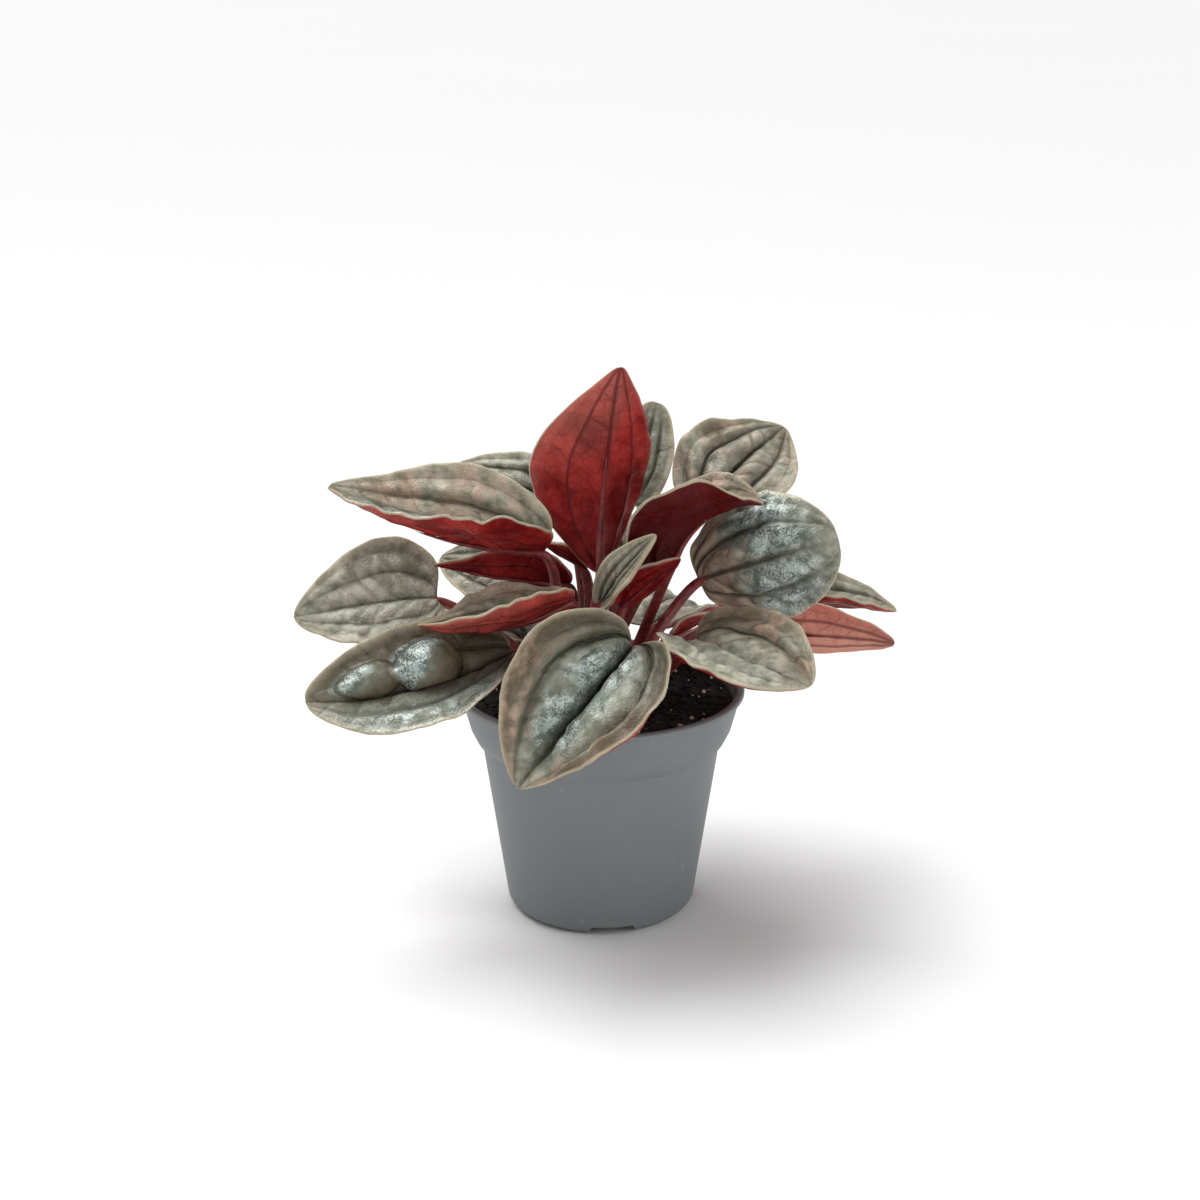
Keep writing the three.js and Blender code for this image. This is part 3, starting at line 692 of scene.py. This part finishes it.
class Blade:
    """The form of one blade. u runs across it from -1 to 1 and v from its base to its tip."""

    def __init__(self, base, tip, face, width, left, right, bend=10, lobe=0.14, belly=0.9,
                 point=0.4, full=1, open=0.2, twist=0, sway=0, blunt=1, blisters=(), **_):
        self.base = Vector(base)
        chord = Vector(tip) - self.base
        self.bend = math.radians(bend)
        self.straight = abs(self.bend) < 1e-6
        self.length = chord.length
        if not self.straight:
            self.length *= self.bend / 2 / math.sin(self.bend / 2)
        self.half = width / 2
        self.sides = {-1: left, 1: right}
        self.lobe, self.belly, self.point, self.full = lobe, belly, point, full
        self.open, self.twist, self.sway = open, math.radians(twist), sway
        self.blunt = blunt
        self.blisters = blisters
        self.ahead = chord.normalized()
        self.right = self.ahead.cross(Vector(face)).normalized()
        self.up = self.right.cross(self.ahead)

    def side(self, v):
        """The blade's half width at v, as a share of the widest."""
        swell = max(0, math.sin(math.pi * v**self.belly)) ** self.full
        swell *= 1 - self.point * v**3
        tip = self.blunt / self.half * min(1, max(0, v - 0.5) / 0.3)
        return math.sqrt(swell * (swell + 2 * tip)) - tip * swell

    def blister(self, u, v):
        return sum(
            height * max(0, 1 - ((u - at_u) / across) ** 2 - ((v - at_v) / along) ** 2) ** 0.65
            for at_u, at_v, across, along, height in self.blisters
        )

    def along(self, u, v):
        back = (v / LOBE_REACH) * math.exp(1 - v / LOBE_REACH)
        return self.length * (v**ROW_SPREAD - self.lobe * u * u * back)

    def at(self, u, v, lift, wave=0):
        """The point in mm that lies lift above the blade's middle surface."""
        side = self.side(v) * (1 + wave)
        y = self.along(u, v)
        sign = -1 if u < 0 else 1
        flat = 1 - self.open * v
        fold, curl = (math.radians(a) * flat for a in self.sides[sign])
        x, z, slope = section(abs(u) * self.half * side, self.half, fold, curl)
        height = lift + RIPPLE * self.half * pucker(abs(u), v) + self.blister(u, v)
        lean = slope * min(1, abs(u) * side / MIDRIB_SHARE)
        x = (x - height * math.sin(lean)) * (0 if u == 0 else sign)
        x += self.sway * self.length * 4 * v * (1 - v)
        z += height * math.cos(lean)
        turn = self.twist * y / self.length
        x, z = x * math.cos(turn) + z * math.sin(turn), z * math.cos(turn) - x * math.sin(turn)
        if not self.straight:
            radius, bent = self.length / self.bend, self.bend * y / self.length
            y, z = (radius + z) * math.sin(bent), (radius + z) * math.cos(bent) - radius
        dip = self.bend / 2
        y, z = y * math.cos(dip) - z * math.sin(dip), y * math.sin(dip) + z * math.cos(dip)
        return self.base + self.right * x + self.ahead * y + self.up * z


def across_lines(counts):
    """Shares of the half width, close together at the veins and at the rim."""
    lines = [0]
    for low, high, count in zip(VEINS, (*VEINS[1:], 1), counts):
        lines += [
            low + (high - low) * (1 - math.cos(math.pi * i / count)) / 2
            for i in range(1, count + 1)
        ]
    return lines


def leaf_top_finish():
    finish = Finish("silver green leaf, upper side")
    u, v, reach = finish.painted("spot")
    phase, rung, spacing = finish.painted("rungs")
    brown, silver, crest = finish.painted("tint")
    bubble = finish.painted("bubble", "Fac")
    groove = finish.painted("groove", "Fac")
    rosiness_and_shade = finish.painted("rosiness_and_shade", "Fac")
    across = abs(u)
    wobble = finish.mottle(350, 3) - 0.5
    cloud = finish.mottle(95, 3)
    patch = finish.mottle(330, 4)
    fleck = finish.mottle(2300, 3)

    # Sunken veins: a dark core, partly the veins' own colour and partly painted shade in the
    # crease, and a soft band of painted shade beside it, both as deep as the mesh says
    core, valley_shade = None, None
    for line, share in zip(VEINS, (1.0, 0.85, 0.2)):
        away = abs(across - line) * reach + wobble * 0.5
        mark = (1 - finish.step(away, 0.05, 0.55)) * share
        low = (1 - finish.step(away, 0.2, 2.6)) * share
        core = mark if core is None else core.maths("MAXIMUM", core, mark)
        valley_shade = low if valley_shade is None else valley_shade.maths("MAXIMUM", valley_shade, low)
    cell = abs((phase + 0.5).maths("FRACT", phase + 0.5) - 0.5) * spacing
    thin = (1 - finish.step(cell + wobble, 0.05, 0.9)) * rung
    thin = thin * finish.step(patch, 0.35, 0.6)
    # Painted shade in a ring round the foot of each blister
    ring = finish.step(bubble, 0.01, 0.12) * (1 - finish.step(bubble, 0.14, 0.5))
    net = finish.node("TexVoronoi", {"feature": "DISTANCE_TO_EDGE"},
                      {"Vector": finish.place(), "Scale": 620})
    net = 1 - finish.step(net, 0.0, 0.12)

    # Shares of the brown mottling, of the silver sheen with its painted white glints, and of the
    # pink
    umber = finish.step(brown + (cloud - 0.5) * 1.7 + (patch - 0.5) * 1.3, 0, 0.8)
    shine = finish.step(silver + (cloud - 0.5) * 1.8 + (patch - 0.5) * 1.5, 0.15, 0.85)
    shine = shine * crest * (1 - ring) * (1 - umber * 0.8)
    glint_zone = finish.step(shine + (patch - 0.5) * 1.6, 0.5, 1.0)
    painted_glint = finish.step(fleck + glint_zone * 0.1, 0.5, 0.68) * glint_zone
    pink = finish.step(finish.mottle(170, 4) + (patch - 0.5) * 0.6 + rosiness_and_shade * 0.3, 0.44, 0.74)

    # Colours, from the silver green of the flesh out to the pale rim and the rosy heart
    colour = finish.blend(finish.step(patch, 0.3, 0.7), shade(118, 120, 100), shade(200, 198, 180))
    taupe = finish.blend(pink, shade(110, 94, 70), shade(188, 156, 134))
    # Under 0 the mottling darkens: partly the leaf's own olive, partly painted shade
    taupe = finish.blend(rosiness_and_shade.maths("MINIMUM", rosiness_and_shade, 0.0) * -1, taupe, shade(64, 58, 40))
    colour = finish.blend(umber * 0.9, colour, taupe)
    slate = finish.step(finish.mottle(420, 4), 0.42, 0.62)
    sheen = finish.blend(slate, shade(78, 92, 87), shade(146, 163, 158))
    colour = finish.blend(shine * 0.9, colour, sheen)
    # Painted highlights: small white glints on the sheen
    colour = finish.blend(painted_glint * 0.55, colour, shade(220, 226, 220))
    edge = (1 - across) * reach + wobble * 0.8
    pale = (1 - finish.step(edge, 0.4, 2.2)) * 0.45 + finish.step(v, 0.85, 1) * 0.35
    colour = finish.blend(pale, colour, shade(186, 176, 150))
    colour = finish.blend(net * 0.08, colour, shade(70, 66, 50))
    # Painted shade in the hollows: the flesh that stands low is darkened
    colour = finish.blend((1 - finish.step(crest, 0.35, 0.9)) * 0.3, colour, shade(70, 66, 48))
    # Painted shade in a soft band beside each sunken vein
    colour = finish.blend(valley_shade * groove * 0.45, colour, shade(54, 56, 42))
    # Dark vein cores and cross veins, partly their own colour and partly painted shade in the
    # creases, and the painted shade ring round the blisters
    dark = core * groove
    dark = dark.maths("MAXIMUM", dark.maths("MAXIMUM", dark, thin * 0.5), ring * 0.8)
    colour = finish.blend(dark * 0.85, colour, shade(34, 34, 26))
    margin = 1 - finish.step(edge, 0.15, 0.8)
    colour = finish.blend(margin * 0.5, colour, shade(190, 176, 150))
    heart = 1 - finish.step(v * 30 + across * reach * 0.5, 0.5, 1.8)
    colour = finish.blend(heart * 0.8, colour, shade(150, 86, 78))

    grain = fleck * 0.7 + patch * 1.2 - net * 0.15 - thin - core * groove * 1.5 - ring * 1.2
    return finish.close(
        Base_Color=colour,
        Metallic=0.05 + 0.35 * shine * (1 - dark),
        Roughness=0.5 - 0.15 * shine + 0.1 * dark,
        Normal=finish.relief(grain, 0.28 * MM),
        Specular_IOR_Level=0.45,
        Coat_Weight=0.1,
        Coat_Roughness=0.3,
    )


def leaf_underside_finish():
    finish = Finish("crimson leaf, underside")
    u, _, reach = finish.painted("spot")
    phase, rung, spacing = finish.painted("rungs")
    rosiness_and_shade = finish.painted("rosiness_and_shade", "Fac")
    across = abs(u)
    wobble = finish.mottle(350, 3) - 0.5
    core = None
    for line, share in zip(VEINS, (1.0, 0.85, 0.12)):
        away = abs(across - line) * reach + wobble * 0.3
        mark = (1 - finish.step(away, 0.1, 0.6)) * share
        core = mark if core is None else core.maths("MAXIMUM", core, mark)
    cell = abs((phase + 0.5).maths("FRACT", phase + 0.5) - 0.5) * spacing
    thin = (1 - finish.step(cell + wobble * 0.8, 0.05, 0.6)) * rung
    net = finish.node("TexVoronoi", {"feature": "DISTANCE_TO_EDGE"},
                      {"Vector": finish.place(), "Scale": 420})
    net = 1 - finish.step(net + wobble * 0.1, 0.0, 0.1)
    dark = core.maths("MAXIMUM", core, thin * 0.55)

    cloud = finish.mottle(120, 3)
    patch = finish.mottle(520, 4)
    colour = finish.blend(finish.step(cloud, 0.32, 0.68), shade(114, 21, 23), shade(170, 50, 46))
    colour = finish.blend(finish.step(patch, 0.45, 0.75) * 0.35, colour, shade(178, 70, 64))
    colour = finish.blend(rosiness_and_shade.maths("MAXIMUM", rosiness_and_shade, 0.0), colour, shade(218, 152, 134))
    # Under 0 the underside darkens to deep maroon: painted shade
    shaded = rosiness_and_shade.maths("MINIMUM", rosiness_and_shade, 0.0) * -1
    colour = finish.blend(shaded, colour, shade(64, 3, 6))
    colour = finish.blend(net * (0.25 - 0.2 * rosiness_and_shade), colour, shade(92, 12, 20))
    colour = finish.blend(dark * 0.7, colour, shade(70, 8, 16))
    margin = 1 - finish.step((1 - across) * reach, 0.1, 0.6)
    colour = finish.blend(margin * 0.55, colour, shade(184, 120, 100))
    grain = patch * 1.4 + finish.mottle(1800, 2) * 0.4 + dark - net * 0.3
    return finish.close(
        Base_Color=colour,
        Roughness=0.5 - 0.12 * patch,
        Normal=finish.relief(grain, 0.16 * MM),
        Specular_IOR_Level=0.15,
        Subsurface_Weight=0.05,
        Subsurface_Radius=(0.003, 0.0006, 0.0005),
    )


def blade_mesh(bm, blade, leaf, seed):
    """Wraps a grid round the blade: its middle strip is the top, its outer strips are below."""
    counts, rows = YOUNG_GRID if leaf.get("young") else GRID
    lines = across_lines(counts)
    quarter = len(lines) - 1
    spacing = blade.length / CROSS_VEINS
    ruffle, grooves = leaf.get("ruffle", 0.3), leaf.get("grooves", 0.9)
    # What the finishes read. spot is the place across and along, and the half width there in
    # mm. rungs is which cross vein is near, how strong it is and how far apart they lie. tint
    # is the mottling, the sheen and how high the flesh stands, with painted highlight and
    # painted shade on the slopes of the blisters. Then come the blisters, the depth of the veins,
    # which sets how strong their painted shade is, and the rosiness of the leaf, or under 0 its
    # darkness: painted shade below, and above partly the leaf's own olive and partly painted
    # shade.
    spot = bm.verts.layers.float_vector.new("spot")
    rungs = bm.verts.layers.float_vector.new("rungs")
    tint = bm.verts.layers.float_vector.new("tint")
    bubble = bm.verts.layers.float.new("bubble")
    groove = bm.verts.layers.float.new("groove")
    rosiness_and_shade = bm.verts.layers.float.new("rosiness_and_shade")
    made = bmesh.ops.create_grid(bm, x_segments=4 * quarter, y_segments=rows, size=1)["verts"]
    # The top's finish runs on round the rim, over two columns of faces
    wrap = 0.5 + 1 / quarter
    for face in bm.faces:
        face.material_index = 0 if abs(face.calc_center_median().x) < wrap else 1
    for vert in made:
        round_x, t = vert.co.x, (vert.co.y + 1) / 2
        line = round(abs(round_x) * 2 * quarter)
        over = line <= quarter
        sign = -1 if round_x < 0 else 1
        across = lines[line if over else 2 * quarter - line]
        u = across * sign
        v = 0.5 * t + 0.25 * (1 - math.cos(math.pi * t))
        side = blade.side(v)
        x, y = across * blade.half * side, blade.along(u, v)
        here = Vector((u * blade.half * side, y, seed * 17.0))
        phase = (y - 0.75 * x) / spacing + 0.25 * sign + 0.35 * noise.noise(here * 0.14)
        cell = abs(phase - round(phase)) * spacing
        band = (across > VEINS[1]) + (across > VEINS[2])
        rung = noise.noise(Vector((round(phase) * 1.7, sign * 2.3 + (band > 0), seed)))
        rung = min(1, max(0, 0.55 + 1.1 * rung)) * (1, 0.85, 0.4)[band]
        drift = 0.06 * noise.noise(Vector((v * 3.5, sign * 4.0, seed * 3.0)))
        worn = straightened(across, leaf.get("lateral", LATERAL)[u > 0])
        worn += drift * math.sin(math.pi * across)
        blistered = min(1, blade.blister(u, v) / 3)
        # Painted light on each blister: the slope towards the tip and the right half is lit, the
        # other slope shaded
        painted_light_slope = blade.blister(u - 0.06, v - 0.03) - blade.blister(u + 0.06, v + 0.03)
        swell = max(0, math.sin(math.pi * v)) ** 0.6
        depth = min(1, grooves) * (1 - blistered)
        bulge = 0.6 * swell * (1 - depth) + plumpness(worn, v) * depth
        if not over:
            bulge *= 0.3 + 0.7 * across**5
        dent = 0.03 * blade.half * rung * math.exp(-((cell / 1.1) ** 2)) * min(1, bulge * 1.5)
        lumps = 0.7 * noise.noise(here * 0.16) + 0.3 * noise.noise(here * 0.42)
        flutter = noise.noise(Vector((y * 0.22, sign * 7.0, seed * 2.0)))
        relief = lumps * min(1, blade.half / 12) * min(1, side * 2) - dent
        relief += RIPPLE * blade.half * (bulge * 1.25 - pucker(across, v))
        relief += ruffle * 2 * flutter * across**3 * min(1, side * 2)
        round_off = max(0, 1 - across**14) ** 0.5
        slim = 0.35 + 0.65 * min(1, side / 0.35)
        lift = BLADE / 2 * round_off * slim * (1 if over else -1)
        wave = 0.03 * noise.noise(Vector((v * 7, sign * 3.0, seed * 5.0)))
        vert.co = blade.at(u, v, lift + relief, wave) * MM
        terms = (1, u, across, v)
        kinds = {"brown": (0.3, 0, 0, 0), "silver": (0.25, 0, 0, 0)}
        kinds["pink" if over else "red"] = (0, 0, 0, 0)
        brown, silver, rosy_and_shade = [
            sum(a * b for a, b in zip(leaf.get(key, usual), terms)) for key, usual in kinds.items()
        ]
        vert[spot] = (worn * sign, v, blade.half * side)
        vert[rungs] = (phase, rung, spacing)
        # Blisters carry more sheen and less mottling; on their slopes painted highlight adds sheen
        # and crest, and painted shade adds brown
        brown -= 0.2 * blistered + 0.3 * painted_light_slope
        silver += 0.4 * blistered + 0.4 * painted_light_slope
        vert[tint] = (brown, silver, min(1, 0.3 + bulge) + 0.15 * painted_light_slope)
        vert[bubble] = blistered
        vert[groove] = grooves * (1 - blistered) * (1 - 0.85 * max(0, min(1, (v - 0.4) / 0.55)))
        vert[rosiness_and_shade] = max(-1, min(1, rosy_and_shade))


def stalk_path(blade, leaf):
    """The middle line of a stalk, in mm, and on under the midrib to where it fades out."""
    lean = socket_lean(leaf["ring"], leaf["slot"])
    mouth = DOME_CENTRE + lean * (DOME_RADIUS + 0.5)
    end = blade.at(0, 0, -0.1)
    span = (end - mouth).length
    midrib = (blade.at(0, 0.3, 0) - blade.at(0, 0, 0)).normalized()
    arrive = ((end - mouth).normalized() + midrib * 0.5).normalized()
    handles = (mouth, mouth + lean * 0.4 * span, end - arrive * 0.35 * span, end)
    path = [DOME_CENTRE + lean * (DOME_RADIUS - 2)]
    radii = [STALK_FOOT]
    for i in range(STALK_STEPS + 1):
        t = i / STALK_STEPS
        weights = ((1 - t) ** 3, 3 * t * (1 - t) ** 2, 3 * t * t * (1 - t), t**3)
        path.append(sum((p * w for p, w in zip(handles, weights)), Vector()))
        radii.append(STALK_FOOT + (STALK_TOP - STALK_FOOT) * t)
    thin = min(1, blade.half / 9)
    for i in range(1, MIDRIB_STEPS + 1):
        v = MIDRIB_REACH * i / MIDRIB_STEPS
        radius = STALK_TOP * thin * (1 - i / MIDRIB_STEPS) ** 0.8 * 0.85 + 0.08
        path.append(blade.at(0, v, -BLADE / 2 - radius * 0.25))
        radii.append(radius)
    for _ in range(SMOOTH_PASSES):
        for row in (path, radii):
            row[2:-1] = [
                row[i] * 0.5 + (row[i - 1] + row[i + 1]) * 0.25 for i in range(2, len(row) - 1)
            ]
    radii[0] = radii[-1] = 0.01
    return path, radii


leaf_finishes = [leaf_top_finish(), leaf_underside_finish(), stalk_finish()]
for seed, (name, leaf) in enumerate(LEAVES.items()):
    blade = Blade(**leaf)
    bm = bmesh.new()
    blade_mesh(bm, blade, leaf, seed)
    path, radii = stalk_path(blade, leaf)
    stalk = tube(bm, path, radii, STALK_SIDES)
    for face in {face for vert in stalk for face in vert.link_faces}:
        face.material_index = 2
    bmesh.ops.remove_doubles(bm, verts=bm.verts, dist=0.0005 * MM)
    bmesh.ops.recalc_face_normals(bm, faces=bm.faces)
    finished(name + "_leaf", bm, leaf_finishes, "leaf_flesh", "leaf_" + name)

# Studio
# A plain white floor that runs out of view, broad soft daylight from overhead, two weak
# softboxes in front on the left and the right, and white walls far off under a dim ceiling.

FLOOR_REACH = 150
CAMERA_PLACE = (-0.0002, -0.432, 0.2082)
CAMERA_DOWN = math.radians(18.1)
CEILING = 0.2


def softbox(name, place, size, power):
    light = bpy.data.lights.new(name, "AREA")
    light.shape = "SQUARE"
    light.size = size
    light.energy = power
    lamp = bpy.data.objects.new(name, light)
    lamp.location = place
    aim = Vector((0, 0, 0.06)) - Vector(place)
    lamp.rotation_euler = aim.to_track_quat("-Z", "Y").to_euler()
    bpy.context.scene.collection.objects.link(lamp)


floor_finish = Finish("white studio floor")
floor_colour = floor_finish.blend(
    floor_finish.mottle(3), (0.84, 0.84, 0.84, 1), (0.86, 0.86, 0.86, 1),
)
floor_bm = bmesh.new()
bmesh.ops.create_grid(floor_bm, x_segments=1, y_segments=1, size=FLOOR_REACH)
floor_mesh = bpy.data.meshes.new("studio_floor")
floor_bm.to_mesh(floor_mesh)
floor_bm.free()
floor_mesh.materials.append(floor_finish.close(Base_Color=floor_colour, Roughness=0.7))
floor = bpy.data.objects.new("studio_floor", floor_mesh)
bpy.context.scene.collection.objects.link(floor)

softbox("softbox_left", (-0.5, -0.25, 0.8), 0.4, 1.4)
softbox("softbox_right", (0.55, -0.35, 0.45), 0.4, 1.5)

daylight = bpy.data.lights.new("broad_daylight", "SUN")
daylight.energy = 3.05
daylight.angle = math.radians(50)
sun = bpy.data.objects.new("broad_daylight", daylight)
sun.rotation_euler = Vector((0.32, -0.32, -1)).to_track_quat("-Z", "Y").to_euler()
bpy.context.scene.collection.objects.link(sun)

room = Finish("white room", bpy.data.worlds)
*_, height = room.split(room.node("TexCoord", output="Generated"))
brightness = 1 - (1 - CEILING) * room.step(height, 0.1, 0.35)
glow = room.node("Background", None, {"Color": (1, 1, 1, 1), "Strength": brightness})
room.node("OutputWorld", None, {"Surface": glow})
bpy.context.scene.world = room.holder
bpy.context.scene.view_settings.view_transform = "Standard"

camera_data = bpy.data.cameras.new("camera")
camera_data.lens = 66
camera_data.sensor_width = 36
camera = bpy.data.objects.new("camera", camera_data)
camera.location = CAMERA_PLACE
camera.rotation_euler = (math.pi / 2 - CAMERA_DOWN, 0, 0)
bpy.context.scene.collection.objects.link(camera)
bpy.context.scene.camera = camera
